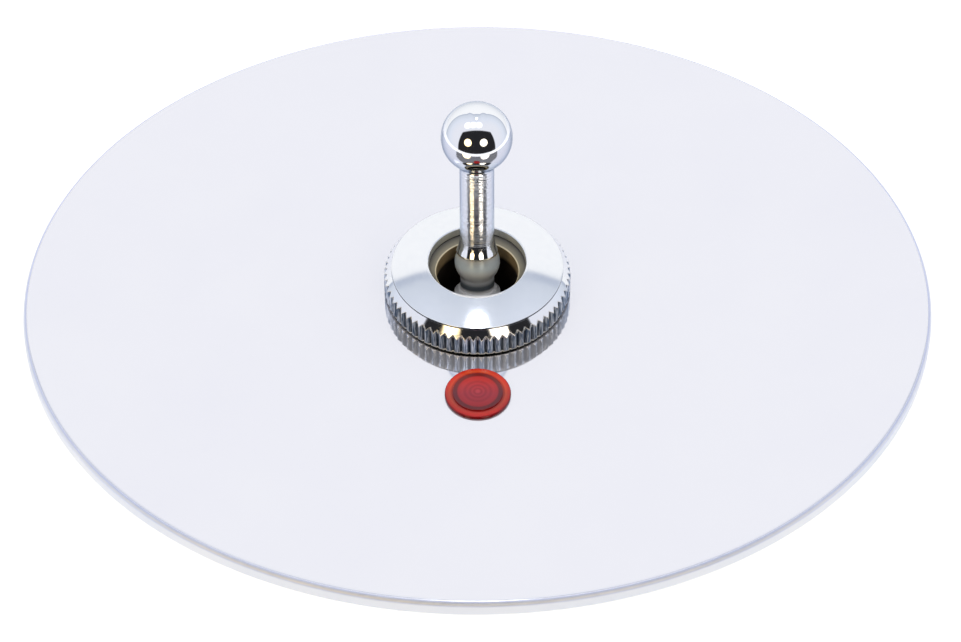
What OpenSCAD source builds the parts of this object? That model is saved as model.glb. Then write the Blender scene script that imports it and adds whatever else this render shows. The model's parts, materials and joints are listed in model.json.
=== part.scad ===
// Illuminated toggle switch: a ball-ended lever in a knurled ring on an oval face plate, a red
// indicator lens beside it, and the switch, lamp and terminals behind the plate.
// The origin is the centre of the wall plane. +Z points out of the wall, +Y up the wall, and
// both hinge axes run along X. The lever is drawn at rest, tipped towards +Y on its stop.

/* [Face plate] */
// Width of the oval plate, along X
plate_w = 90; // [80:1:110]
// Height of the oval plate, along Y
plate_h = 79.4; // [70:0.2:100]
// Thickness of the plate
plate_t = 1.5; // [1:0.1:2.5]
// Radius on the front edge of the plate
plate_edge_r = 0.5; // [0.2:0.1:0.8]

/* [Knurled ring] */
// Diameter over the crests of the knurl
ring_d = 18.44; // [17:0.02:21]
// Height from the plate to the edge of the mouth
ring_h = 4.05; // [3.8:0.05:5]
// Height from the plate to the outer edge of the dome
ring_edge_h = 3.25; // [3:0.05:3.6]
// Height of the upright step under the dome's edge
ring_step_h = 0.15; // [0.05:0.05:0.4]
// Width of the chamfer between the step and the knurl
ring_chamfer_w = 0.74; // [0.5:0.02:1]
// Height of that chamfer
ring_chamfer_h = 0.92; // [0.6:0.02:1.2]
// Width of the chamfer at the ring's foot
ring_foot_w = 0.3; // [0.1:0.05:0.5]
// Height of the chamfer at the ring's foot
ring_foot_h = 0.6; // [0.3:0.05:0.9]
// Number of teeth in the knurl
knurl_teeth = 70; // [50:1:90]
// Depth of the knurl's grooves
knurl_depth = 0.32; // [0.2:0.01:0.4]

/* [Toggle lever] */
// Tilt of the lever to each side of upright, in degrees
lever_tilt = 16; // [12:0.5:19]
// Diameter of the ball tip
tip_d = 7; // [5:0.1:8]
// Distance from the hinge to the centre of the ball tip
tip_reach = 19.8; // [16:0.1:26]
// Diameter of the neck
neck_d = 3.4; // [2.4:0.05:3.8]
// Radius of the fillet between neck and ball
tip_fillet_r = 0.6; // [0.3:0.1:1]
// Diameter of the collar
collar_d = 4.1; // [3.9:0.05:4.4]
// Distance from the hinge to the lower edge of the collar
collar_reach = 7.15; // [6.8:0.05:7.4]
// Height of the collar's straight part
collar_h = 0.15; // [0.1:0.05:0.6]
// Height of the flare between collar and neck
flare_h = 1.6; // [0.8:0.05:2.2]
// Diameter of the bulb under the collar
bulb_d = 4.5; // [4.3:0.05:4.8]
// Distance from the hinge to the centre of the bulb
bulb_reach = 6; // [5.6:0.05:6.2]
// Distance from the hinge to the shoulder under the bulb
shoulder_reach = 3.05; // [2.6:0.05:3.2]
// Width and height of the chamfer around the shoulder
shoulder_chamfer = 0.35; // [0.2:0.05:0.5]
// Length of the tail below the hinge
tail_l = 6.4; // [5.6:0.1:7]
// Wall of the hollow tail
tail_wall = 0.8; // [0.5:0.1:1]

/* [Bushing and fixings] */
// Diameter of the bushing's thread
bush_d = 12; // [11.6:0.1:14]
// Height of the bushing above the plate
bush_proud = 3; // [2.6:0.05:3.2]
// Depth of the hinge below the bushing's top
hinge_depth = 6.5; // [6:0.1:7.2]
// Width of the chamfer around the bushing's bore
mouth_w = 0.73; // [0.4:0.01:1]
// Depth of the chamfer around the bushing's bore
mouth_chamfer_h = 0.45; // [0.2:0.05:0.6]
// Diameter of the hinge pin
pin_d = 1.6; // [1.2:0.1:1.8]
// Diameter of the bushing's flange
flange_d = 14; // [13:0.5:16]
// Thickness of the bushing's flange
flange_t = 1; // [0.6:0.1:1.4]
// Width of the keyway along the bushing
keyway_w = 1.6; // [1:0.1:2]
// Depth of the keyway
keyway_depth = 0.6; // [0.3:0.1:0.8]
// Size of the back nut across its flats
nut_af = 15; // [14:0.5:17]
// Thickness of the back nut
nut_t = 2.2; // [1.6:0.1:3]
// Outer diameter of the lock washer
washer_d = 16.4; // [15.5:0.1:18]
// Thickness of the lock washer
washer_t = 0.6; // [0.4:0.1:0.8]
// Number of notches in the lock washer
washer_notches = 10; // [6:1:14]
// Length of thread left free under the back nut
thread_runout = 0.8; // [0.4:0.1:1.6]

/* [Support frame] */
// Width of the raised platform, along X
frame_w = 41; // [36:1:44]
// Height of the platform, along Y
frame_h = 42; // [40:1:50]
// Thickness of the frame's sheet
frame_t = 1.2; // [0.8:0.1:1.6]
// Height of the platform's underside above the wall
frame_rise = 2; // [1.6:0.1:3]
// Corner radius of the platform
frame_corner_r = 5; // [3:0.5:8]
// Height of each ear, along Y
ear_h = 22; // [16:1:28]
// Length over both ears, along X
ear_span = 74; // [70:1:78]
// Spacing of the box screws
screw_spacing = 60; // [58:0.5:62]
// Length of each screw slot, end to end
slot_l = 7; // [5:0.5:8]
// Width of each screw slot
slot_w = 4.2; // [3.6:0.1:4.6]
// Width of the step pressed between platform and ears
joggle_w = 3.4; // [2.6:0.1:4]

/* [Switch mechanism] */
// Drop from the lever's hinge to the rocker's axis
rocker_drop = 11; // [10.4:0.1:12]
// Tilt of the rocker to each side of level, in degrees
rocker_tilt = 8; // [6:0.5:10]
// Length of each rocker arm
rocker_arm = 5.8; // [5.4:0.1:6.6]
// Width of the rocker
rocker_w = 6; // [5:0.1:7]
// Thickness of the rocker
rocker_t = 0.8; // [0.6:0.1:1]
// Radius of the rocker's knuckle
knuckle_r = 1.3; // [1.1:0.05:1.5]
// Distance from the rocker's axis to a moving contact
contact_reach = 4.8; // [4.4:0.1:5]
// Diameter of the contact rivets
contact_d = 2; // [1.6:0.1:2.4]
// Height of a contact's head
contact_h = 0.6; // [0.4:0.1:0.8]
// Diameter of the plunger
plunger_d = 2.8; // [2.2:0.1:3.2]
// Radius of the plunger's nose
nose_r = 1.2; // [1:0.05:1.3]
// Wire diameter of the spring
spring_wire = 0.36; // [0.24:0.02:0.44]
// Length of the spring between its seats
spring_l = 3; // [2.4:0.1:3.4]
// Number of turns in the spring
spring_turns = 4.5; // [3:0.5:5]

/* [Housing and terminals] */
// Wall of the moulded housing
housing_wall = 1.6; // [1.2:0.1:2]
// Inner width of the housing, along X
cavity_w = 12; // [11.6:0.1:13]
// Radius on the housing's upright corners
housing_corner_r = 1.2; // [0.6:0.1:1.5]
// Depth of the trough between the ledges
trough_depth = 2; // [1.6:0.1:2.6]
// Thickness of the floor under the trough
floor_t = 3; // [2:0.1:4]
// Thickness of the cover's sheet
cover_t = 0.8; // [0.6:0.1:1.2]
// Width of the cover's legs, along Y
cover_leg_w = 8; // [6:0.5:10]
// Length of the tabs bent under the housing
cover_tab_l = 1.6; // [1:0.1:2.4]
// Thickness of the terminal strip
strip_t = 0.8; // [0.6:0.1:1]
// Width of the terminal strips
strip_w = 5; // [4.4:0.1:6]
// Length of the terminal blades below the housing
blade_l = 7.6; // [7:0.1:9]
// Diameter of the terminal screws
screw_d = 3; // [2.5:0.1:3.5]
// Diameter of the screw heads
head_d = 5.4; // [4.8:0.1:5.8]
// Height of the screw heads
head_h = 1.6; // [1:0.1:2]
// Width of the clamp plates
clamp_w = 5.2; // [4.8:0.1:6]
// Thickness of the clamp plates
clamp_t = 0.8; // [0.6:0.1:1]
// Length of the screws behind the head
screw_l = 5; // [4:0.1:6]

/* [Indicator lamp] */
// Distance of the lens below the lever, along Y
lens_drop = 14.1; // [14:0.05:16]
// Diameter of the lens flange
lens_d = 6.4; // [6:0.05:7]
// Height of the lens flange above the plate
lens_rim_h = 0.3; // [0.2:0.05:0.4]
// Diameter of the raised window of the lens
lens_window_d = 4.85; // [4.5:0.05:5.4]
// Height of that window above the plate
lens_h = 0.45; // [0.4:0.05:0.8]
// Diameter of the lens stem
lens_stem_d = 5.2; // [4.8:0.1:5.4]
// Diameter of the hollow inside the lens
lens_bore_d = 4.3; // [4:0.05:4.4]
// Length of the stem behind the frame
lens_stem_l = 4; // [3:0.1:5]
// Thickness of the lens window
lens_window_t = 0.5; // [0.3:0.05:0.6]
// Outer diameter of the lens clip
clip_d = 8; // [7.4:0.1:9]
// Thickness of the lens clip
clip_t = 0.4; // [0.3:0.05:0.6]
// Outer diameter of the lamp holder
holder_d = 7.2; // [6.6:0.1:7.6]
// Length of the lamp holder
holder_l = 15; // [13:0.5:18]
// Diameter of the glow lamp
lamp_d = 3.4; // [2.8:0.1:3.6]
// Length of the glow lamp
lamp_l = 9; // [7:0.5:10]
// Diameter of the resistor
resistor_d = 2.2; // [1.8:0.1:2.6]
// Length of the resistor
resistor_l = 4.4; // [3.6:0.1:5]
// Diameter of the insulated leads
lead_d = 0.9; // [0.6:0.05:1]

/* [Hidden] */
$fn = 96;

// Clearances: threads and press seats, running fits, loose fits, and an overshoot for cutting tools
fit_gap = 0.02;
run_gap = 0.04;
loose_gap = 0.15;
lever_room = 0.17;
cut = 1;

// Heights of the stack along Z, from the wall plane
plate_back = frame_rise + frame_t;
plate_top = plate_back + plate_t;
bush_top = plate_top + bush_proud;
hinge_z = bush_top - hinge_depth;
washer_base = frame_rise - washer_t;
nut_base = washer_base - nut_t;
flange_top = nut_base - thread_runout;
cover_top = flange_top - flange_t;
housing_top = cover_top - cover_t;
rocker_z = hinge_z - rocker_drop;

// Radii that the lever's swing needs
bush_r = bush_d / 2;
bore_r = bulb_reach * sin(lever_tilt) + bulb_d / 2 + lever_room;
mouth_r = bore_r + mouth_w;
spigot_step = 1;
spigot_r = bush_r - spigot_step;

// Ring: a lip closes over the bushing, and the dome is part of one sphere
lip_gap = 0.1;
lip_chamfer = 0.12;
lip_base = bush_proud + lip_gap;
ring_r = ring_d / 2;
dome_edge_r = ring_r - ring_chamfer_w;
dome_z = (ring_h^2 - ring_edge_h^2 + mouth_r^2 - dome_edge_r^2) / (2 * (ring_h - ring_edge_h));
dome_r = norm([mouth_r, ring_h - dome_z]);

// Lever: the spring and the plunger share the tail's bore
plunger_gap = 0.1;
tail_bore_r = plunger_d / 2 + plunger_gap;
tail_r = tail_bore_r + tail_wall;
tail_bore_top = pin_d / 2 + tail_wall;
plunger_top = tail_bore_top + spring_l;
nose_gap = 0.45;
nose_reach = rocker_drop - nose_r - nose_gap;
nose_cone_h = 1.2;

// Rocker: its arms rise so that the nose keeps its distance over the whole throw
arm_rise = rocker_tilt + lever_tilt / 2;
closed_rise = arm_rise - rocker_tilt;
arm_end = rocker_arm * [cos(arm_rise), sin(arm_rise)];
contact_gap = 0.1;
contact_y = contact_reach * cos(closed_rise) + (rocker_t + contact_h) * sin(closed_rise);
contact_z = contact_reach * sin(closed_rise) - (rocker_t + contact_h) * cos(closed_rise);
shank_r = contact_d / 4;

// Housing: ledges carry the end terminals, a trough between them carries the saddle
pad_top = rocker_z + contact_z - contact_gap - contact_h;
ledge_top = pad_top - strip_t;
trough_top = ledge_top - trough_depth;
housing_base = trough_top - floor_t;
pad_margin = 1;
leg_gap = 0.2;
leg_outer = contact_y + contact_d / 2 + pad_margin + strip_t;
cavity_l = 2 * (leg_outer + leg_gap);
housing_l = cavity_l + 2 * housing_wall;
housing_w = cavity_w + 2 * housing_wall;
ledge_margin = 0.3;
ledge_inner = contact_y - contact_d / 2 - ledge_margin;
blade_end = housing_base - blade_l;

// Outer radius of the bends in the cover and in the terminal strips
bend_share = 1.5;
cover_bend = bend_share * cover_t;
strip_bend = bend_share * strip_t;

// Saddle: two ears under the knuckle, and a blade that leaves through the floor
saddle_drop = 0.9;
ear_inset = 1.2;
blade_inset = 0.8;
ear_x = rocker_w / 2 - ear_inset;
saddle_w = 4;
blade_outer = cavity_w / 2 - blade_inset;

// Terminal screws: a wire fits between clamp plate and blade
wire_room = lead_d + 2 * run_gap;
clamp_margin = 0.3;
clamp_corner_r = 0.5;
screw_z = blade_end + clamp_w / 2 + clamp_margin;
slot_depth = head_h / 2;
head_slot_w = 0.7;

// Lens and lamp, along the lens axis
lens_y = -lens_drop;
rim_edge_r = 0.15;
window_edge_r = 0.08;
clip_base = frame_rise - clip_t;
holder_top = clip_base - run_gap;
stem_end = frame_rise - lens_stem_l;
holder_base = holder_top - holder_l;
holder_floor_t = 1.4;
holder_bore_r = lens_bore_d / 2;
lamp_sink = 0.6;
lamp_top = plate_top - lamp_sink;
lamp_base = lamp_top - lamp_l;
resistor_gap = 0.5;
resistor_top = lamp_base - resistor_gap;
lead_x = 1;

// Small shapes that several pieces share

// Turns a drawing in Y and Z into a bar of width w along X
module across_x(w) {
    rotate([90, 0, 90])
        translate([0, 0, -w / 2])
            linear_extrude(w)
                children();
}

// Turns a drawing in X and Z into a bar of width w along Y
module across_y(w) {
    rotate([90, 0, 0])
        translate([0, 0, -w / 2])
            linear_extrude(w)
                children();
}

// Places a piece of the lever, drawn upright with the hinge at its origin
module on_lever() {
    translate([0, 0, hinge_z])
        rotate([-lever_tilt, 0, 0])
            children();
}

// Places a piece of the rocker, drawn level with its axis at the origin
module on_rocker() {
    translate([0, 0, rocker_z])
        rotate([rocker_tilt, 0, 0])
            children();
}

// Rectangle with round corners, centred
module round_rect(w, h, r) {
    square([w - 2 * r, h], center = true);
    square([w, h - 2 * r], center = true);
    for (x = [-1, 1], y = [-1, 1])
        translate([x * (w / 2 - r), y * (h / 2 - r)])
            circle(r);
}

// Slot with round ends along X, centred
module round_slot(l, w) {
    square([l - w, w], center = true);
    for (x = [-1, 1])
        translate([x * (l - w) / 2, 0])
            circle(d = w);
}

// Strip bent at a right angle: flat to the left of the bend, then straight down from it
module bent_strip(flat, drop, t, bend) {
    translate([-flat, -t])
        square([flat - bend, t]);
    translate([-t, -drop])
        square([t, drop - bend]);
    translate([-bend, -bend])
        intersection() {
            difference() {
                circle(bend);
                circle(bend - t);
            }
            square(bend);
        }
}

function unit(v) = v / norm(v);

// Points of a smooth curve through a list of points, with the given steps between two of them
function curve_point(a, b, c, d, u) =
    0.5 * (2 * b + (c - a) * u + (2 * a - 5 * b + 4 * c - d) * u^2 + (3 * b - a - 3 * c + d) * u^3);
function curve(p, steps) = [
    for (i = [0 : len(p) - 2], k = [0 : steps - 1])
        curve_point(p[max(i - 1, 0)], p[i], p[i + 1], p[min(i + 2, len(p) - 1)], k / steps),
    p[len(p) - 1]
];

// Round bar swept along points. The side vector is never parallel to the path.
module swept_bar(path, d, sides, side) {
    n = len(path);
    points = [
        for (i = [0 : n - 1])
            let (along = unit(path[min(i + 1, n - 1)] - path[max(i - 1, 0)]))
            let (u = unit(cross(along, side)))
            let (v = cross(along, u))
            for (k = [0 : sides - 1])
                path[i] + d / 2 * (cos(360 * k / sides) * u + sin(360 * k / sides) * v)
    ];
    walls = [
        for (i = [0 : n - 2], k = [0 : sides - 1])
            let (next = (k + 1) % sides)
            [i * sides + k, (i + 1) * sides + k, (i + 1) * sides + next, i * sides + next]
    ];
    first = [for (k = [0 : sides - 1]) k];
    last = [for (k = [sides - 1 : -1 : 0]) (n - 1) * sides + k];
    polyhedron(points, concat(walls, [first, last]));
}

// Oval sheet, with the front edge rounded and holes for the bushing and the lens
module face_plate() {
    color("gainsboro")
        difference() {
            translate([0, 0, plate_back])
                plate_blank();
            translate([0, 0, plate_back - cut])
                cylinder(r = bush_r + loose_gap, h = plate_t + 2 * cut);
            translate([0, lens_y, plate_back - cut])
                cylinder(d = lens_stem_d + loose_gap, h = plate_t + 2 * cut);
        }
}

// Ovals that shrink over the height of the rounded edge, joined by a hull
module plate_blank() {
    edge_steps = 5;
    hull()
        for (i = [0 : edge_steps])
            let (turn = 90 * i / edge_steps)
            let (inset = plate_edge_r * (1 - cos(turn)))
            linear_extrude(plate_t - plate_edge_r * (1 - sin(turn)))
                oval(plate_w / 2 - inset, plate_h / 2 - inset);
}

module oval(half_w, half_h) {
    sides = 144;
    polygon([for (i = [0 : sides - 1]) [half_w * cos(360 * i / sides), half_h * sin(360 * i / sides)]]);
}

// Ring nut: knurled band, chamfer, step and dome, with a lip over the bushing's end
module knurled_ring() {
    color("silver")
        translate([0, 0, plate_top])
            difference() {
                intersection() {
                    translate([0, 0, -cut])
                        linear_extrude(ring_h + 2 * cut)
                            knurl_outline();
                    rotate_extrude()
                        ring_section();
                    translate([0, 0, dome_z])
                        sphere(dome_r);
                }
                translate([0, 0, -cut])
                    cylinder(r = bush_r + fit_gap, h = lip_base + cut);
                cylinder(r = mouth_r, h = ring_h + cut);
                translate([0, 0, ring_h - lip_chamfer])
                    cylinder(r1 = mouth_r, r2 = mouth_r + 2 * lip_chamfer, h = 2 * lip_chamfer);
            }
}

module knurl_outline() {
    step = 180 / knurl_teeth;
    polygon([
        for (i = [0 : 2 * knurl_teeth - 1])
            (ring_r - (i % 2) * knurl_depth) * [cos(i * step), sin(i * step)]
    ]);
}

// The chamfers run on past the crests, so that they alone shape the ends of the teeth
module ring_section() {
    step_base = ring_edge_h - ring_step_h;
    past = knurl_depth / 4;
    polygon([
        [0, 0],
        [ring_r - ring_foot_w, 0],
        [ring_r + past, ring_foot_h * (1 + past / ring_foot_w)],
        [ring_r + past, step_base - ring_chamfer_h * (1 + past / ring_chamfer_w)],
        [dome_edge_r, step_base],
        [dome_edge_r, ring_h + cut],
        [0, ring_h + cut]
    ]);
}

// Turned lever with a cross hole for its pin and a hollow tail for the spring
module toggle_lever() {
    color("silver")
        on_lever()
            difference() {
                lever_body();
                rotate([0, 90, 0])
                    cylinder(r = pin_d / 2 + run_gap, h = 2 * (tail_r + cut), center = true);
                translate([0, 0, -tail_l - cut])
                    cylinder(r = tail_bore_r, h = tail_l + cut - tail_bore_top);
            }
}

module lever_body() {
    barrel_top = shoulder_reach - shoulder_chamfer;
    translate([0, 0, tip_reach])
        sphere(d = tip_d);
    translate([0, 0, tip_reach])
        rotate_extrude()
            tip_fillet_section();
    cylinder(d = neck_d, h = tip_reach);
    translate([0, 0, collar_reach])
        rotate_extrude()
            collar_section();
    translate([0, 0, bulb_reach])
        sphere(d = bulb_d);
    translate([0, 0, barrel_top])
        cylinder(r1 = tail_r, r2 = tail_r - shoulder_chamfer, h = shoulder_chamfer);
    translate([0, 0, -tail_l])
        cylinder(r = tail_r, h = tail_l + barrel_top);
}

// Section of the collar and of the hollow flare that leaves the neck at a tangent
module collar_section() {
    flare_w = (collar_d - neck_d) / 2;
    flare_r = (flare_w^2 + flare_h^2) / (2 * flare_w);
    difference() {
        square([collar_d / 2, collar_h + flare_h]);
        translate([neck_d / 2 + flare_r, collar_h + flare_h])
            circle(flare_r);
    }
}

// Section of the fillet, tangent to the neck and to the ball, with the ball's centre at the origin
module tip_fillet_section() {
    x = neck_d / 2 + tip_fillet_r;
    reach = tip_d / 2 + tip_fillet_r;
    z = -sqrt(reach^2 - x^2);
    touch = tip_d / 2 / reach;
    difference() {
        polygon([[0, z], [x, z], [x * touch, z * touch], [0, z * touch]]);
        translate([x, z])
            circle(tip_fillet_r);
    }
}

// Cross pin, held in the bushing's wall
module pivot_pin() {
    color("lightsteelblue")
        translate([0, 0, hinge_z])
            rotate([0, 90, 0])
                cylinder(d = pin_d, h = bush_d - 2 * keyway_depth, center = true);
}

// Threaded sleeve with a chamfered mouth, a keyway, and a flange and spigot for the cover
module threaded_bushing() {
    end_chamfer = 0.4;
    color("tan")
        difference() {
            union() {
                translate([0, 0, cover_top])
                    cylinder(r = bush_r, h = bush_top - end_chamfer - cover_top);
                translate([0, 0, bush_top - end_chamfer])
                    cylinder(r1 = bush_r, r2 = bush_r - end_chamfer, h = end_chamfer);
                translate([0, 0, cover_top])
                    cylinder(d = flange_d, h = flange_t);
                translate([0, 0, housing_top])
                    cylinder(r = spigot_r, h = cover_t);
            }
            translate([0, 0, housing_top - cut])
                cylinder(r = bore_r, h = bush_top - housing_top + 2 * cut);
            translate([0, 0, bush_top - mouth_chamfer_h])
                cylinder(r1 = bore_r, r2 = mouth_r, h = mouth_chamfer_h);
            translate([0, 0, hinge_z])
                rotate([0, 90, 0])
                    cylinder(r = pin_d / 2 + fit_gap, h = bush_d + cut, center = true);
            translate([-keyway_w / 2, bush_r - keyway_depth, flange_top])
                cube([keyway_w, keyway_depth + cut, bush_top - flange_top + cut]);
        }
}

// Washer with notches around its hole and a tongue in the bushing's keyway
module lock_washer() {
    notch_r = 0.7;
    hole_r = bush_r + loose_gap;
    color("lightslategray")
        translate([0, 0, washer_base])
            linear_extrude(washer_t) {
                difference() {
                    circle(d = washer_d);
                    circle(hole_r);
                    for (i = [0 : washer_notches - 1])
                        rotate(360 * (i + 0.5) / washer_notches + 90)
                            translate([hole_r, 0])
                                circle(notch_r);
                }
                translate([-keyway_w / 2 + run_gap, bush_r - keyway_depth + run_gap])
                    square([keyway_w - 2 * run_gap, keyway_depth + 2 * loose_gap]);
            }
}

// Thin hexagon nut with its corners turned off
module back_nut() {
    corner_d = nut_af / cos(30);
    turn = 0.6;
    color("lightslategray")
        translate([0, 0, nut_base])
            difference() {
                intersection() {
                    cylinder(d = corner_d, h = nut_t, $fn = 6);
                    union() {
                        cylinder(d1 = nut_af, d2 = nut_af + 2 * turn * sqrt(3), h = turn);
                        translate([0, 0, turn])
                            cylinder(d = nut_af + 2 * turn * sqrt(3), h = nut_t - 2 * turn);
                        translate([0, 0, nut_t - turn])
                            cylinder(d1 = nut_af + 2 * turn * sqrt(3), d2 = nut_af, h = turn);
                    }
                }
                translate([0, 0, -cut])
                    cylinder(r = bush_r + fit_gap, h = nut_t + 2 * cut);
            }
}

// Folded frame: a raised platform under the plate and two slotted ears on the wall
module support_frame() {
    color("lightgray")
        difference() {
            intersection() {
                across_y(frame_h)
                    frame_section();
                translate([0, 0, -cut])
                    linear_extrude(plate_back + 2 * cut)
                        frame_outline();
            }
            translate([0, 0, -cut])
                cylinder(r = bush_r + loose_gap, h = plate_back + 2 * cut);
            translate([0, lens_y, -cut])
                cylinder(d = lens_stem_d + loose_gap, h = plate_back + 2 * cut);
            for (x = [-1, 1])
                translate([x * screw_spacing / 2, 0, -cut])
                    linear_extrude(plate_back)
                        round_slot(slot_l, slot_w);
        }
}

// The sheet seen from its edge: the platform, then an S-shaped step down to each ear
module frame_section() {
    steps = 10;
    run = [
        for (i = [0 : steps])
            [frame_w / 2 + joggle_w * i / steps, frame_rise * (1 + cos(180 * i / steps)) / 2]
    ];
    right = concat(run, [[ear_span / 2, 0]]);
    left = [for (i = [len(right) - 1 : -1 : 0]) [-right[i].x, right[i].y]];
    under = concat(left, right);
    over = [for (i = [len(under) - 1 : -1 : 0]) under[i] + [0, frame_t]];
    polygon(concat(under, over));
}

module frame_outline() {
    round_rect(frame_w, frame_h, frame_corner_r);
    round_rect(ear_span, ear_h, frame_corner_r);
}

// Yoke: a top sheet that carries the bushing, and two legs with tabs under the housing
module switch_cover() {
    hole_margin = 0.5;
    leg_outer_x = housing_w / 2 + run_gap + cover_t;
    leg_h = cover_top - housing_base + run_gap + cover_t;
    flat = leg_outer_x - spigot_r - hole_margin;
    color("lightslategray") {
        difference() {
            translate([0, 0, housing_top])
                linear_extrude(cover_t)
                    round_rect(housing_w, housing_l, housing_corner_r);
            translate([0, 0, housing_top - cut])
                cylinder(r = spigot_r + fit_gap, h = cover_t + 2 * cut);
        }
        for (side = [0, 1])
            mirror([side, 0, 0])
                translate([leg_outer_x, 0, cover_top])
                    across_y(cover_leg_w)
                        bent_strip(flat, leg_h - cover_bend, cover_t, cover_bend);
        for (side = [0, 1])
            mirror([side, 0, 0])
                translate([leg_outer_x, 0, cover_top - leg_h])
                    mirror([0, 0, 1])
                        across_y(cover_leg_w)
                            bent_strip(cover_t + cover_tab_l, 3 * cover_t, cover_t, cover_bend);
    }
}

// Moulded cup with two ledges, a trough, and slots for the three terminals
module switch_housing() {
    slot_gap = 0.05;
    relief = strip_bend - strip_t + slot_gap;
    color("#26262a")
        difference() {
            intersection() {
                translate([0, 0, housing_base])
                    linear_extrude(housing_top - housing_base)
                        round_rect(housing_w, housing_l, housing_corner_r);
                across_y(housing_l + cut)
                    housing_section();
            }
            translate([-cavity_w / 2, -cavity_l / 2, ledge_top])
                cube([cavity_w, cavity_l, housing_top - ledge_top + cut]);
            translate([-cavity_w / 2, -ledge_inner, trough_top])
                cube([cavity_w, 2 * ledge_inner, ledge_top - trough_top + cut]);
            for (side = [-90, 90])
                rotate(side)
                    translate([leg_outer, 0, ledge_top])
                        strip_slot(strip_w, ledge_top - housing_base, slot_gap, relief);
            translate([blade_outer, 0, trough_top])
                strip_slot(saddle_w, trough_top - housing_base, slot_gap, relief);
        }
}

// The housing seen along Y, with chamfers that clear the bends of the cover
module housing_section() {
    c = cover_bend - cover_t + run_gap;
    x = housing_w / 2;
    polygon([
        [-x, housing_base + c],
        [c - x, housing_base],
        [x - c, housing_base],
        [x, housing_base + c],
        [x, housing_top - c],
        [x - c, housing_top],
        [c - x, housing_top],
        [-x, housing_top - c]
    ]);
}

// Cutter for a strip that turns down into the floor: its outer face is at the origin, facing +X
module strip_slot(w, depth, gap, relief) {
    translate([-strip_t - gap, -w / 2 - gap, -depth - cut])
        cube([strip_t + 2 * gap, w + 2 * gap, depth + 2 * cut]);
    translate([-strip_t - relief, -w / 2 - gap, -relief])
        cube([relief, w + 2 * gap, relief + cut]);
}

// Coil spring in the lever's tail
module lever_spring() {
    coil_r = tail_bore_r - spring_wire / 2 - plunger_gap;
    rings = 14;
    rise = spring_l - spring_wire - 2 * run_gap;
    start = -plunger_top + spring_wire / 2 + run_gap;
    path = [
        for (i = [0 : spring_turns * rings])
            let (turn = i / rings)
            [coil_r * cos(360 * turn), coil_r * sin(360 * turn), start + rise * turn / spring_turns]
    ];
    color("silver")
        on_lever()
            swept_bar(path, spring_wire, 8, [0, 0, 1]);
}

// Plunger with a round nose that slides in the lever's tail
module spring_plunger() {
    body_l = nose_reach - nose_cone_h - plunger_top;
    color("ivory")
        on_lever() {
            translate([0, 0, -plunger_top - body_l])
                cylinder(d = plunger_d, h = body_l);
            translate([0, 0, -nose_reach])
                cylinder(r1 = nose_r, d2 = plunger_d, h = nose_cone_h);
            translate([0, 0, -nose_reach])
                sphere(nose_r);
        }
}

// Boat-shaped rocker: two rising arms on a round knuckle, with holes for the contact rivets
module contact_rocker() {
    color("goldenrod")
        on_rocker()
            difference() {
                union() {
                    across_x(rocker_w)
                        rocker_arms();
                    difference() {
                        rotate([0, 90, 0])
                            cylinder(r = knuckle_r, h = rocker_w, center = true);
                        translate([0, 0, -rocker_t / 2])
                            across_x(rocker_w + cut)
                                space_above_arms();
                    }
                }
                for (side = [0, 1])
                    on_arm(side)
                        cylinder(r = shank_r + fit_gap, h = 4 * rocker_t, center = true);
            }
}

module rocker_arms() {
    under = rocker_t * [sin(arm_rise), -cos(arm_rise)];
    left = [[-1, 0], [0, 1]];
    polygon([
        [0, 0],
        arm_end,
        arm_end + under,
        [0, -rocker_t / cos(arm_rise)],
        left * (arm_end + under),
        left * arm_end
    ]);
}

module space_above_arms() {
    polygon([[0, 0], arm_end, [0, arm_end.y + 2 * knuckle_r], [-arm_end.x, arm_end.y]]);
}

// Places a piece where a moving contact sits: origin on the arm's top, Z along its normal
module on_arm(side) {
    mirror([0, side, 0])
        rotate([arm_rise, 0, 0])
            translate([0, contact_reach, 0])
                children();
}

// Silver rivets with domed heads under the rocker's arms
module moving_contacts() {
    dome_h = contact_h / 2;
    dome_r = (contact_d^2 / 4 + dome_h^2) / (2 * dome_h);
    color("whitesmoke")
        on_rocker()
            for (side = [0, 1])
                on_arm(side) {
                    translate([0, 0, -rocker_t])
                        cylinder(r = shank_r, h = rocker_t);
                    intersection() {
                        translate([0, 0, -rocker_t - contact_h])
                            cylinder(d = contact_d, h = contact_h);
                        translate([0, 0, -rocker_t - contact_h + dome_r])
                            sphere(dome_r);
                    }
                }
}

// Silver rivets with flat heads on the end terminals
module fixed_contacts() {
    color("whitesmoke")
        for (side = [0, 1])
            mirror([0, side, 0])
                translate([0, contact_y, pad_top]) {
                    cylinder(d = contact_d, h = contact_h);
                    translate([0, 0, -strip_t])
                        cylinder(r = shank_r, h = strip_t);
                }
}

// Saddle with two notched ears, and a blade bent down through the floor
module common_terminal() {
    ear_top = rocker_z - saddle_drop;
    strip_top = trough_top + strip_t;
    color("goldenrod")
        difference() {
            union() {
                translate([blade_outer, 0, strip_top])
                    across_y(saddle_w)
                        bent_strip(blade_outer + ear_x, strip_top - blade_end, strip_t, strip_bend);
                for (x = [-1, 1])
                    translate([x * ear_x - strip_t / 2, -saddle_w / 2, trough_top])
                        cube([strip_t, saddle_w, ear_top - trough_top]);
            }
            translate([0, 0, rocker_z])
                rotate([0, 90, 0])
                    cylinder(r = knuckle_r + run_gap, h = cavity_w, center = true);
            translate([blade_outer, 0, screw_z])
                rotate([0, 90, 0])
                    cylinder(r = screw_d / 2 + fit_gap, h = 4 * strip_t, center = true);
        }
}

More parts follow.
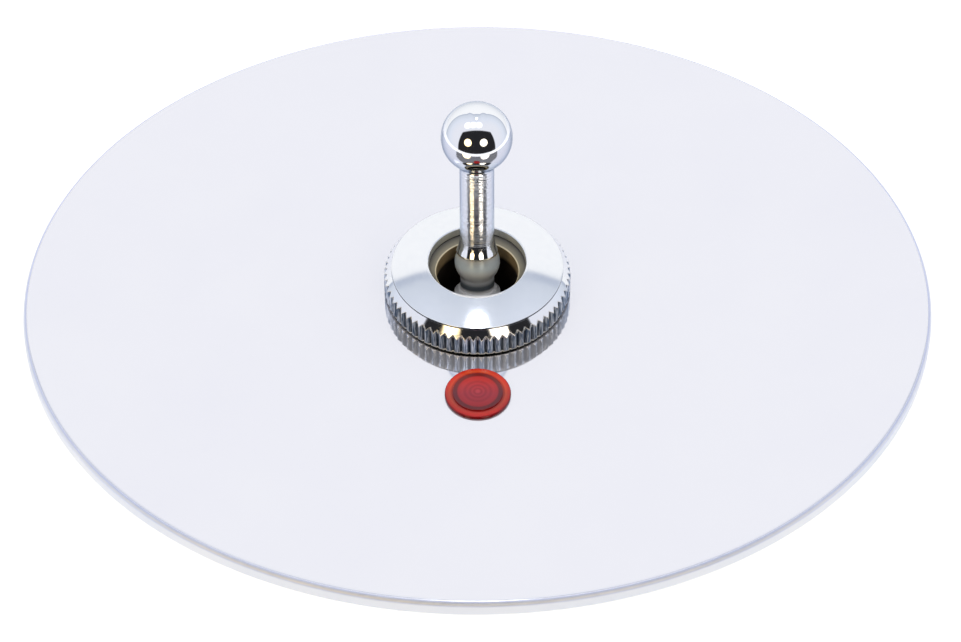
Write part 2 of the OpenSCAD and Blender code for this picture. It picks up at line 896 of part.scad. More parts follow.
// End terminal, drawn on the +Y side: a pad under the contact and a blade with its screw hole
module end_terminal() {
    color("goldenrod")
        difference() {
            translate([0, leg_outer, pad_top])
                across_x(strip_w)
                    bent_strip(leg_outer - ledge_inner, pad_top - blade_end, strip_t, strip_bend);
            translate([0, contact_y, pad_top])
                cylinder(r = shank_r + fit_gap, h = 4 * strip_t, center = true);
            translate([0, leg_outer, screw_z])
                rotate([90, 0, 0])
                    cylinder(r = screw_d / 2 + fit_gap, h = 4 * strip_t, center = true);
        }
}

module terminal_front() {
    mirror([0, 1, 0])
        end_terminal();
}

module terminal_back() {
    end_terminal();
}

// Repeats a screw or clamp, drawn along +Z from the blade's outer face, at the three blades
module at_blades() {
    translate([0, -leg_outer, screw_z])
        rotate([90, 0, 0])
            children();
    translate([0, leg_outer, screw_z])
        rotate([-90, 0, 0])
            children();
    translate([blade_outer, 0, screw_z])
        rotate([0, 90, 0])
            children();
}

// Slotted cheese-head screws
module terminal_screws() {
    head_base = wire_room + clamp_t;
    color("silver")
        at_blades()
            difference() {
                union() {
                    translate([0, 0, head_base])
                        cylinder(d = head_d, h = head_h);
                    translate([0, 0, head_base - screw_l])
                        cylinder(d = screw_d, h = screw_l);
                }
                translate([-head_d / 2 - cut, -head_slot_w / 2, head_base + head_h - slot_depth])
                    cube([head_d + 2 * cut, head_slot_w, slot_depth + cut]);
            }
}

// Square clamp plates under the screw heads
module clamp_washers() {
    color("silver")
        at_blades()
            translate([0, 0, wire_room])
                linear_extrude(clamp_t)
                    difference() {
                        round_rect(clamp_w, clamp_w, clamp_corner_r);
                        circle(screw_d / 2 + run_gap);
                    }
}

// Flanged lens with a raised window, a hollow stem, and rings moulded under the window
module indicator_lens() {
    window_base = plate_top + lens_h - lens_window_t;
    ring_radii = [0.35, 0.75, 1.25];
    ring_half_w = 0.1;
    ring_depth = 0.18;
    color("firebrick")
        translate([0, lens_y, 0])
            difference() {
                union() {
                    translate([0, 0, plate_top])
                        rotate_extrude() {
                            rounded_step(lens_d / 2, lens_rim_h, rim_edge_r);
                            rounded_step(lens_window_d / 2, lens_h, window_edge_r);
                        }
                    translate([0, 0, stem_end])
                        cylinder(d = lens_stem_d, h = plate_top - stem_end);
                }
                translate([0, 0, stem_end - cut])
                    cylinder(d = lens_bore_d, h = window_base - stem_end + cut);
                for (r = ring_radii)
                    translate([0, 0, window_base - cut])
                        difference() {
                            cylinder(r = r + ring_half_w, h = ring_depth + cut);
                            cylinder(r = r - ring_half_w, h = ring_depth + cut);
                        }
            }
}

// Half section of a disc with its upper edge rounded
module rounded_step(r, h, edge_r) {
    square([r - edge_r, h]);
    square([r, h - edge_r]);
    translate([r - edge_r, h - edge_r])
        circle(edge_r);
}

// Push-on spring clip with slits around the stem
module lens_clip() {
    slits = 6;
    slit_w = 0.5;
    slit_l = 0.9;
    color("lightslategray")
        translate([0, lens_y, clip_base])
            linear_extrude(clip_t)
                difference() {
                    circle(d = clip_d);
                    circle(lens_stem_d / 2 + run_gap);
                    for (i = [0 : slits - 1])
                        rotate(360 * i / slits)
                            translate([lens_stem_d / 2, -slit_w / 2])
                                square([slit_l, slit_w]);
                }
}

// Tube that pushes onto the lens stem and carries the lamp
module lamp_holder() {
    color("#e8e4d8")
        translate([0, lens_y, 0])
            difference() {
                translate([0, 0, holder_base])
                    cylinder(d = holder_d, h = holder_l);
                translate([0, 0, stem_end - run_gap])
                    cylinder(r = lens_stem_d / 2 + run_gap, h = holder_top - stem_end + cut);
                translate([0, 0, holder_base + holder_floor_t])
                    cylinder(r = holder_bore_r, h = holder_l);
                for (x = [-1, 1])
                    translate([x * lead_x, 0, holder_base - cut])
                        cylinder(r = lead_d / 2 + run_gap, h = holder_floor_t + 2 * cut);
            }
}

// Glow lamp: a glass tube with a round top and a pinched foot
module neon_lamp() {
    pinch_h = 1.2;
    pinch_d = 1.4;
    color("#f0b890")
        translate([0, lens_y, 0]) {
            translate([0, 0, lamp_base + pinch_h])
                cylinder(d = lamp_d, h = lamp_l - pinch_h - lamp_d / 2);
            translate([0, 0, lamp_top - lamp_d / 2])
                sphere(d = lamp_d);
            translate([0, 0, lamp_base])
                cylinder(d1 = pinch_d, d2 = lamp_d, h = pinch_h);
        }
}

// Resistor under the lamp, a barrel with thicker ends
module ballast_resistor() {
    end_h = 0.9;
    waist = 0.15;
    color("#c8a878")
        translate([0, lens_y, resistor_top - resistor_l]) {
            cylinder(r = resistor_d / 2 - waist, h = resistor_l);
            for (z = [0, resistor_l - end_h])
                translate([0, 0, z])
                    cylinder(d = resistor_d, h = end_h);
        }
}

// Two leads from the holder's floor to the front blade and the common blade
module lamp_leads() {
    wire_z = screw_z - screw_d / 2 - lead_d / 2 - run_gap;
    top = holder_base + holder_floor_t;
    front_y = -leg_outer - wire_room / 2;
    common_x = blade_outer + wire_room / 2;
    front_route = [
        [-lead_x, lens_y, top],
        [-lead_x, lens_y, holder_base - 0.6],
        [-lead_x, lens_y, holder_base - 1.8],
        [-2.6, lens_y, holder_base - 4.6],
        [-5.6, lens_y + 1.6, wire_z + 2],
        [-6.6, front_y - 2, wire_z + 0.4],
        [-5, front_y, wire_z],
        [-3.6, front_y, wire_z],
        [-1, front_y, wire_z],
        [2, front_y, wire_z]
    ];
    common_route = [
        [lead_x, lens_y, top],
        [lead_x, lens_y, holder_base - 0.6],
        [lead_x, lens_y, holder_base - 1.8],
        [2.4, lens_y, holder_base - 4.6],
        [4.8, lens_y + 1.6, wire_z + 1.6],
        [common_x, lens_y + 5.4, wire_z + 0.1],
        [common_x, -5, wire_z],
        [common_x, -3.6, wire_z],
        [common_x, -1, wire_z],
        [common_x, 2, wire_z]
    ];
    color("maroon") {
        swept_bar(curve(front_route, 4), lead_d, 8, [0.4, 1, 0.2]);
        swept_bar(curve(common_route, 4), lead_d, 8, [1, 0.3, 0.2]);
    }
}

face_plate();
knurled_ring();
toggle_lever();
pivot_pin();
threaded_bushing();
lock_washer();
back_nut();
support_frame();
switch_cover();
switch_housing();
lever_spring();
spring_plunger();
contact_rocker();
moving_contacts();
fixed_contacts();
common_terminal();
terminal_front();
terminal_back();
terminal_screws();
clamp_washers();
indicator_lens();
lens_clip();
lamp_holder();
neon_lamp();
ballast_resistor();
lamp_leads();
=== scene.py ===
"""Looks, light and camera for the illuminated toggle switch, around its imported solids."""
import json
from math import cos, pi, radians, sin

import bmesh
import bpy
from mathutils import Matrix, Vector

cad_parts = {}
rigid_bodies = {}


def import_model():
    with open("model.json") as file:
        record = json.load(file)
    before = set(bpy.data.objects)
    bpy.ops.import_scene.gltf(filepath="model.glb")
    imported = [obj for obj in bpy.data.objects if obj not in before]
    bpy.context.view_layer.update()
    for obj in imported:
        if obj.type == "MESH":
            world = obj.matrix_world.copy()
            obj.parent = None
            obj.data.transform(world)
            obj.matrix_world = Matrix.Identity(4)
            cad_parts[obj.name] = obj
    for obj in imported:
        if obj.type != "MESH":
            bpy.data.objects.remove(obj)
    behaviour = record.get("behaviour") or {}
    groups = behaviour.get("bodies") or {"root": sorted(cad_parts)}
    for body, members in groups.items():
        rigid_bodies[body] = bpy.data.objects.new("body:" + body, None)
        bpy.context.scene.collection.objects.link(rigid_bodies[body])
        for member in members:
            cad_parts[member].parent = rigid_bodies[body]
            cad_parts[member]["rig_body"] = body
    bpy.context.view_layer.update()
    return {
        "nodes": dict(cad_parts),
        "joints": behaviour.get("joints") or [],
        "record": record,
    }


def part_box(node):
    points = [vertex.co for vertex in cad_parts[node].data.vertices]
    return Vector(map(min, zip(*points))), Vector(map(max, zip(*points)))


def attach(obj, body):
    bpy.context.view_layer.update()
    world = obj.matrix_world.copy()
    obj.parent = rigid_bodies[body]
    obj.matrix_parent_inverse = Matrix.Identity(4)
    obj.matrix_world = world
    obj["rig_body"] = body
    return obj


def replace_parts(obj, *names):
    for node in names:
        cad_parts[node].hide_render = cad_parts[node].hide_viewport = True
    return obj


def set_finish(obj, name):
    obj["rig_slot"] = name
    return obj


for leftover in list(bpy.data.objects):
    bpy.data.objects.remove(leftover)
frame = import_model()
nodes = frame["nodes"]
mm = 0.001

# Places that the pieces and finishes follow, from the frame
plate_low, plate_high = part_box("face_plate")
plate_top = plate_high.z
ring_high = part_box("knurled_ring")[1]
ring_mouth = ring_high.z
ring_r = ring_high.x / mm
bushing_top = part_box("threaded_bushing")[1].z
lens_low, lens_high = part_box("indicator_lens")
lens_axis = Vector((0, (lens_low.y + lens_high.y) / 2, 0))
screws_low, screws_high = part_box("terminal_screws")
screw_z = (screws_low.z + screws_high.z) / 2
toggle = next(joint for joint in frame["joints"] if joint["name"] == "toggle_tilt")
hinge = Vector(toggle["pos_m"])
lever_tilt = radians(toggle["range_deg"][1] / 2)
lever_axis = Vector((0, sin(lever_tilt), cos(lever_tilt)))

# Sizes of the real pieces that a node's box doesn't give, in millimetres
PLATE_EDGE_R = 0.5
BUSHING_HOLE_R = 6.15
LENS_HOLE_R = 2.675
PLATE_SEAT_GAP = 0.01
DOME_DROP = 0.78
TEETH_END_DROPS = (1.1, 0.4)
KNURL_DEPTH = 0.32
FOOT_LINE_H = 0.25
MOUTH_R = 4.8
MOUTH_CHAMFER_H = 0.45
BUSHING_R = 6
BUSHING_PITCH = 1
COLLAR_REACH = 7.15
SHOULDER_REACH = 3.05
FLARE_TOP_REACH = 8.9
TIP_FILLET_REACH = 16.2
SCREW_R = 1.5
SCREW_PITCH = 0.5
SCREW_L = 5
SCREW_HEAD_H = 1.6
SCREW_FREE_L = 2.3
BARE_LEAD_L = 2.7

# Faces that meet at more than this angle keep a sharp edge
SHARP_ANGLE = radians(35)

# Camera, from the ellipses of the plate, the ring and the lens in an image of 961 by 642 pixels
IMAGE_SIZE = Vector((961, 642))
PLATE_CENTRE_PX = Vector((477.5, 289))
FOCAL_PX = 3079
SENSOR_MM = 36
VIEW_ELEVATION = radians(46)
VIEW_DISTANCE = 0.306
VIEW_ROLL = radians(0.2)

# The part is held by its frame, well above a disc of paper
FLOOR_DROP = 0.11
FLOOR_R = 0.6
FLOOR_GLOW = 0.5

# The tent's walls, the dark room in its open front, and the share of a lamp's half angle that is soft
TENT_WHITE = "#ffffff"
ROOM_DARK = "#272729"
FRONT_TOP_EDGE = (0, -1, -0.45)
FRONT_SIDE_SLANT = (0, -1.69, 0.32)
LAMP_SOFT = 0.15

# Direction, half angle in degrees, strength and colour of each lamp in the tent
LAMPS = [
    ((-0.468, -0.808, 0.358), 11, 4, "#ffe3ae"),
    ((0.377, -0.843, 0.383), 11, 4, "#fff2dc"),
    ((-0.45, -0.08, 0.89), 10, 0.6, "#ffffff"),
    ((-0.17, -0.12, 0.97), 10, 0.6, "#ffffff"),
    ((0.12, -0.13, 0.98), 10, 0.6, "#ffffff"),
    ((0, 0.25, 0.968), 3, 5, "#ffffff"),
]

# Colour of the tent from the edge of the backdrop towards the front
TENT_TOP = [(0, "#a8b2c6"), (0.08, "#bac2d2"), (0.14, "#d4dae4"), (0.55, "#e4e9f4"), (1, "#ecedf4")]

# Share of the light that the buffed face mirrors, and the colour of the painted shade under the ring
PLATE_MIRROR = 0.73
SHADE_UNDER_RING = "#0c0b0a"

# Colour of the plate's rounded edge from the face, at 0, down to the straight side, at 1, with light painted
# in: a shaded band where the rim rolls over, then a bright band
PLATE_EDGE_SHADING = [(0.04, "#e2e5f4"), (0.16, "#e4e7f8"), (0.42, "#ffffff"), (0.75, "#f2f4ff"), (1, "#ffffff")]

# Colour of the lens from its axis outwards: moulded rings, a dark ring painted where the stem's wall shows
# through, the rim painted bright orange as if lit through, its side painted in shade
LENS_RINGS_AND_SHADING = [
    (0.15, "#f04850"), (0.35, "#c83440"), (0.55, "#e43e48"), (0.75, "#c43440"), (1.0, "#e03c46"),
    (1.25, "#c83440"), (1.5, "#e03c44"), (1.9, "#d8363e"), (2.05, "#8c3038"), (2.35, "#8c3038"),
    (2.45, "#c83020"), (2.7, "#ff6038"), (3.05, "#f83c2c"), (3.2, "#8c0c18"),
]

# Painted light on the lens from its front to its back: darker and pinker in front, lit orange to white at the
# back, where light from the plate comes through
LENS_LIGHT_FRONT_TO_BACK = [
    (0, "#e080a0"), (0.12, "#dc8cac"), (0.2, "#cca4c4"), (0.45, "#d4d0f0"), (0.62, "#f0d8d8"),
    (0.72, "#ffc898"), (0.84, "#ffc898"), (0.92, "#fff4e8"), (1, "#ffffff"),
]

# Colour of the lever under its collar, by the distance from the hinge, with light and shade painted in: a
# painted highlight on the shoulder, painted shade on the waist, and a bulb lit below and shaded under the
# collar
LEVER_BULB_SHADING = [
    (3.3, "#ffffff"), (3.55, "#6f7780"), (3.9, "#7f8a94"), (4.3, "#f8fcff"), (5.5, "#f4fbff"),
    (6.1, "#d6e4ec"), (6.6, "#b8c2c6"), (7.1, "#b2b0a8"),
]

# Painted rings of the resistor, as shares of its length
RESISTOR_RINGS = [
    (0, "#c9a673"), (0.3, "#6b3a1e"), (0.38, "#c9a673"), (0.46, "#1c1a18"), (0.54, "#c9a673"),
    (0.62, "#c8782a"), (0.7, "#c9a673"),
]


def srgb(code):
    """Linear colour of an sRGB hex code."""
    channels = [int(code[i:i + 2], 16) / 255 for i in (1, 3, 5)]
    return [c / 12.92 if c <= 0.04045 else ((c + 0.055) / 1.055) ** 2.4 for c in channels] + [1]


def add(tree, kind, inputs=None, **settings):
    """Adds a node: settings go on the node, and an input takes a node, a socket or a value."""
    node = tree.nodes.new("ShaderNode" + kind)
    for name, value in settings.items():
        setattr(node, name, value)
    for key, value in (inputs or {}).items():
        named = [s for s in node.inputs if s.enabled and s.name == key]
        socket = named[0] if named else node.inputs[key]
        if isinstance(value, bpy.types.Node):
            value = next(s for s in value.outputs if s.enabled)
        if isinstance(value, bpy.types.NodeSocket):
            tree.links.new(value, socket)
        else:
            socket.default_value = value
    return node


def new_material(name):
    """A material with an empty tree, and the place on the solid at rest, in millimetres."""
    material = bpy.data.materials.new(name)
    material.use_nodes = True
    tree = material.node_tree
    tree.nodes.clear()
    metres = add(tree, "TexCoord").outputs["Object"]
    place = add(tree, "VectorMath", {"Vector": metres, "Scale": 1 / mm}, operation="SCALE")
    return material, tree, place


def close_material(tree, inputs):
    """Ends the tree with one surface shader."""
    surface = add(tree, "BsdfPrincipled", inputs)
    add(tree, "OutputMaterial", {"Surface": surface})


def set_stops(ramp, stops):
    """Fills a colour ramp with positions and sRGB codes, the first and last on its own two stops."""
    for element, (position, code) in zip(ramp.elements, (stops[0], stops[-1])):
        element.position = position
        element.color = srgb(code)
    for position, code in stops[1:-1]:
        ramp.elements.new(position).color = srgb(code)


# Materials


def polished_steel():
    """Stainless sheet: the face is buffed to a pale lilac mirror, the edge is satin with painted bands of
    shade and highlight, the back as rolled, and painted shade lies under the ring.
    """
    material, tree, place = new_material("buffed_stainless_steel")
    _, y, height = add(tree, "SeparateXYZ", {"Vector": place}).outputs
    top = plate_top / mm
    face = add(tree, "MapRange", {"Value": height, "From Min": top - 0.05, "From Max": top - 0.02})
    cloud = add(tree, "TexNoise", {"Vector": place, "Scale": 1 / 9, "Detail": 2})
    pale = add(tree, "Mix", {"Factor": cloud, "A": srgb("#f1f2fb"), "B": srgb("#f5f6fd")}, data_type="RGBA")
    facing = add(tree, "TexCoord").outputs["Normal"]
    slope = add(tree, "SeparateXYZ", {"Vector": facing}).outputs["Z"]
    back = add(tree, "MapRange", {"Value": slope, "From Min": -0.3, "From Max": -0.6})
    # Painted shade and highlight: bands down the rounded edge, multiplied over its satin tone
    drop = add(tree, "MapRange", {"Value": height, "From Min": top, "From Max": top - PLATE_EDGE_R})
    edge_shading = add(tree, "ValToRGB", {"Fac": drop})
    set_stops(edge_shading.color_ramp, PLATE_EDGE_SHADING)
    satin = add(tree, "Mix", {"Factor": cloud, "A": srgb("#eef4ff"), "B": srgb("#ffffff")}, data_type="RGBA")
    edge = add(tree, "Mix", {"Factor": 1, "A": edge_shading, "B": satin}, data_type="RGBA",
               blend_type="MULTIPLY")
    # Painted shade: a dark contact line in the corner under the ring's foot, darkest in front
    flat = add(tree, "VectorMath", {0: place, 1: (1, 1, 0)}, operation="MULTIPLY")
    radius = add(tree, "VectorMath", {0: flat}, operation="LENGTH")
    corner = add(tree, "MapRange", {"Value": radius, "From Min": ring_r + 0.04, "From Max": ring_r - 0.06})
    darker_in_front = add(tree, "MapRange", {"Value": y, "From Min": -6.5, "From Max": -9, "To Min": 0.6,
                                     "To Max": 1})
    contact_shade = add(tree, "Math", {0: corner, 1: darker_in_front}, operation="MULTIPLY")
    shaded = add(tree, "Mix", {"Factor": contact_shade, "A": pale, "B": srgb(SHADE_UNDER_RING)}, data_type="RGBA")
    front = add(tree, "Mix", {"Factor": face, "A": edge, "B": shaded}, data_type="RGBA")
    colour = add(tree, "Mix", {"Factor": back, "A": front, "B": srgb("#b9bcc2")}, data_type="RGBA")
    along = add(tree, "VectorMath", {0: place, 1: (0.02, 1, 1)}, operation="MULTIPLY")
    marks = add(tree, "TexNoise", {"Vector": along, "Scale": 1 / 0.4, "Detail": 3})
    buffed = add(tree, "MapRange", {"Value": marks, "To Min": 0.03, "To Max": 0.07})
    polished = add(tree, "Mix", {"Factor": face, "A": 0.55, "B": buffed})
    rolled = add(tree, "MapRange", {"Value": marks, "To Min": 0.3, "To Max": 0.55})
    gloss = add(tree, "Mix", {"Factor": back, "A": polished, "B": rolled})
    # The haze of the buffing wheel scatters part of the light, so the mirror isn't all metal
    metal = add(tree, "MapRange", {"Value": back, "To Min": PLATE_MIRROR, "To Max": 1})
    close_material(tree, {"Base Color": colour, "Metallic": metal, "Roughness": gloss})
    return material


def turned_chrome():
    """Chromed ring: turning marks give the dome a silky gloss, and the cut knurl and the lip stay dull;
    highlights and shade are painted on the knurl, the mouth's rim and the foot.
    """
    material, tree, place = new_material("turned_chrome_plate")
    flat = add(tree, "VectorMath", {0: place, 1: (1, 1, 0)}, operation="MULTIPLY")
    radius = add(tree, "VectorMath", {0: flat}, operation="LENGTH")
    _, y, height = add(tree, "SeparateXYZ", {"Vector": place}).outputs
    dome_edge = ring_mouth / mm - DOME_DROP
    above = add(tree, "MapRange", {"Value": height, "From Min": dome_edge - 0.03,
                                   "From Max": dome_edge + 0.01})
    outside = add(tree, "MapRange", {"Value": radius, "From Min": MOUTH_R + 0.15, "From Max": MOUTH_R + 0.25})
    dome = add(tree, "Math", {0: above, 1: outside}, operation="MULTIPLY")
    lip = add(tree, "MapRange", {"Value": radius, "From Min": MOUTH_R + 0.04, "From Max": MOUTH_R + 0.01})
    facing = add(tree, "TexCoord").outputs["Normal"]
    slope = add(tree, "SeparateXYZ", {"Vector": facing}).outputs["Z"]
    upright = add(tree, "MapRange", {"Value": slope, "From Min": 0.45, "From Max": 0.3})
    drawn = add(tree, "VectorMath", {0: place, 1: (1, 1, 0.08)}, operation="MULTIPLY")
    streaks = add(tree, "TexNoise", {"Vector": drawn, "Scale": 1 / 0.1, "Detail": 2})
    turns = add(tree, "TexNoise", {"W": radius, "Scale": 1 / 0.12, "Detail": 3}, noise_dimensions="1D")
    specks = add(tree, "TexNoise", {"Vector": place, "Scale": 1 / 0.8, "Detail": 3})
    silky = add(tree, "MapRange", {"Value": turns, "To Min": 0.06, "To Max": 0.16})
    bright = add(tree, "MapRange", {"Value": specks, "To Min": 0.03, "To Max": 0.1})
    cut = add(tree, "MapRange", {"Value": streaks, "To Min": 0.2, "To Max": 0.45})
    smooth = add(tree, "Mix", {"Factor": dome, "A": bright, "B": silky})
    lift = add(tree, "Math", {0: turns, 1: dome}, operation="MULTIPLY")
    edges = add(tree, "Bevel", {"Radius": 0.15 * mm}, samples=4)
    bump = add(tree, "Bump", {"Height": lift, "Strength": 0.5, "Distance": 0.002 * mm, "Normal": edges})
    chrome = add(tree, "Mix", {"Factor": specks, "A": srgb("#eff2f8"), "B": srgb("#f6f8fc")},
                 data_type="RGBA")
    smut = add(tree, "MapRange", {"Value": streaks, "From Min": 0.42, "From Max": 0.58})
    sides = add(tree, "Mix", {"Factor": smut, "A": srgb("#70849c"), "B": srgb("#f2f8ff")}, data_type="RGBA")
    # Painted shade: the knurl's flanks darken to near black towards the bottoms of the grooves
    out = add(tree, "MapRange", {"Value": radius, "From Min": ring_r - KNURL_DEPTH,
                                 "From Max": ring_r - 0.14})
    knurl = add(tree, "Mix", {"Factor": out, "A": srgb("#1b222c"), "B": sides}, data_type="RGBA")
    plated = add(tree, "Mix", {"Factor": upright, "A": chrome, "B": knurl}, data_type="RGBA")
    # Painted highlights: the ends of the teeth, the mouth's front rim and a line on the foot are painted
    # pale, with painted shade below the foot line
    faces = add(tree, "NewGeometry").outputs["Normal"]
    bend = add(tree, "VectorMath", {0: edges, 1: faces}, operation="DOT_PRODUCT")
    edge = add(tree, "MapRange", {"Value": bend, "From Min": 0.995, "From Max": 0.98})
    low, high = [dome_edge - drop for drop in TEETH_END_DROPS]
    over = add(tree, "MapRange", {"Value": height, "From Min": low - 0.1, "From Max": low})
    under = add(tree, "MapRange", {"Value": height, "From Min": high + 0.1, "From Max": high})
    at_ends = add(tree, "Math", {0: over, 1: under}, operation="MULTIPLY")
    teeth = add(tree, "Math", {0: edge, 1: at_ends}, operation="MULTIPLY")
    near_mouth = add(tree, "MapRange", {"Value": radius, "From Min": MOUTH_R + 0.32,
                                        "From Max": MOUTH_R + 0.24})
    in_front = add(tree, "MapRange", {"Value": y, "From Min": 0.7 - MOUTH_R, "From Max": -MOUTH_R})
    at_mouth = add(tree, "Math", {0: near_mouth, 1: above}, operation="MULTIPLY")
    rim = add(tree, "Math", {0: at_mouth, 1: in_front}, operation="MULTIPLY")
    foot = plate_top / mm
    from_foot = add(tree, "Math", {0: height, 1: foot + FOOT_LINE_H}, operation="SUBTRACT")
    off_foot = add(tree, "Math", {0: from_foot}, operation="ABSOLUTE")
    foot_line = add(tree, "MapRange", {"Value": off_foot, "From Min": 0.1, "From Max": 0.06})
    ends = add(tree, "Math", {0: teeth, 1: foot_line}, operation="MAXIMUM")
    painted_highlight = add(tree, "Math", {0: ends, 1: rim}, operation="MAXIMUM")
    faced = add(tree, "Mix", {"Factor": upright, "A": smooth, "B": cut})
    gloss = add(tree, "Mix", {"Factor": painted_highlight, "A": faced, "B": 0.55})
    bright_edge = add(tree, "Mix", {"Factor": painted_highlight, "A": plated, "B": srgb("#ffffff")}, data_type="RGBA")
    # Painted shade: the ring's foot darkens to the same contact line just above the plate
    contact_shade = add(tree, "MapRange", {"Value": height, "From Min": foot + 0.14, "From Max": foot + 0.08})
    outer = add(tree, "Mix", {"Factor": contact_shade, "A": bright_edge, "B": srgb(SHADE_UNDER_RING)}, data_type="RGBA")
    colour = add(tree, "Mix", {"Factor": lip, "A": outer, "B": srgb("#bcbeb8")}, data_type="RGBA")
    dull = add(tree, "Math", {0: lip, 1: painted_highlight}, operation="MAXIMUM")
    metal = add(tree, "MapRange", {"Value": dull, "To Min": 1, "To Max": 0.1})
    outwards = add(tree, "VectorTransform", {"Vector": flat}, vector_type="VECTOR", convert_from="OBJECT",
                   convert_to="WORLD")
    close_material(tree, {"Base Color": colour, "Metallic": metal, "Roughness": gloss, "Normal": bump,
                          "Anisotropic": 0.5, "Tangent": outwards})
    return material


def lever_chrome():
    """Chromed lever: a mirror ball, turning marks that draw light out along the neck, and a dull bulb with
    its light and shade painted in bands.
    """
    material, tree, place = new_material("turned_and_buffed_chrome")
    from_hinge = add(tree, "VectorMath", {0: place, 1: hinge / mm}, operation="SUBTRACT")
    reach = add(tree, "VectorMath", {0: from_hinge, 1: lever_axis}, operation="DOT_PRODUCT")
    under_collar = add(tree, "MapRange", {"Value": reach, "From Min": COLLAR_REACH + 0.02,
                                          "From Max": COLLAR_REACH - 0.03})
    above_tail = add(tree, "MapRange", {"Value": reach, "From Min": SHOULDER_REACH - 0.6,
                                        "From Max": SHOULDER_REACH - 0.3})
    dull = add(tree, "Math", {0: under_collar, 1: above_tail}, operation="MULTIPLY")
    above_flare = add(tree, "MapRange", {"Value": reach, "From Min": FLARE_TOP_REACH - 1.2,
                                         "From Max": FLARE_TOP_REACH})
    below_ball = add(tree, "MapRange", {"Value": reach, "From Min": TIP_FILLET_REACH + 0.3,
                                        "From Max": TIP_FILLET_REACH - 0.3})
    neck = add(tree, "Math", {0: above_flare, 1: below_ball}, operation="MULTIPLY")
    # The tool's feed is drawn at 0.14 mm, about twice as coarse as it is, so that it shows
    feed = add(tree, "TexNoise", {"W": reach, "Scale": 1 / 0.14, "Detail": 2}, noise_dimensions="1D")
    chatter = add(tree, "TexNoise", {"Vector": place, "Scale": 1 / 0.25, "Detail": 2})
    marks = add(tree, "Math", {0: feed, 1: chatter}, operation="MULTIPLY")
    lift = add(tree, "Math", {0: marks, 1: neck}, operation="MULTIPLY")
    bump = add(tree, "Bump", {"Height": lift, "Strength": 1, "Distance": 0.046 * mm})
    turned = add(tree, "MapRange", {"Value": neck, "To Min": 0.04, "To Max": 0.06})
    grain = add(tree, "TexNoise", {"Vector": place, "Scale": 1 / 0.25, "Detail": 3})
    frosted = add(tree, "MapRange", {"Value": grain, "To Min": 0.27, "To Max": 0.31})
    gloss = add(tree, "Mix", {"Factor": dull, "A": turned, "B": frosted})
    # Painted light and shade in bands on the shoulder, waist and bulb
    share = add(tree, "Math", {0: reach, 1: COLLAR_REACH}, operation="DIVIDE")
    bulb_shading = add(tree, "ValToRGB", {"Fac": share})
    set_stops(bulb_shading.color_ramp, [(at / COLLAR_REACH, code) for at, code in LEVER_BULB_SHADING])
    metal = add(tree, "MapRange", {"Value": dull, "To Min": 1, "To Max": 0.18})
    colour = add(tree, "Mix", {"Factor": dull, "A": srgb("#f7f9fd"), "B": bulb_shading}, data_type="RGBA")
    along = add(tree, "VectorTransform", {"Vector": lever_axis}, vector_type="VECTOR", convert_from="OBJECT",
                convert_to="WORLD")
    # Chromium reflects less where it is seen edge on, so the ball has a greyer outline
    close_material(tree, {"Base Color": colour, "Metallic": metal, "Roughness": gloss, "Normal": bump,
                          "Anisotropic": 0.9, "Tangent": along, "Specular Tint": srgb("#c0c7d2")})
    return material


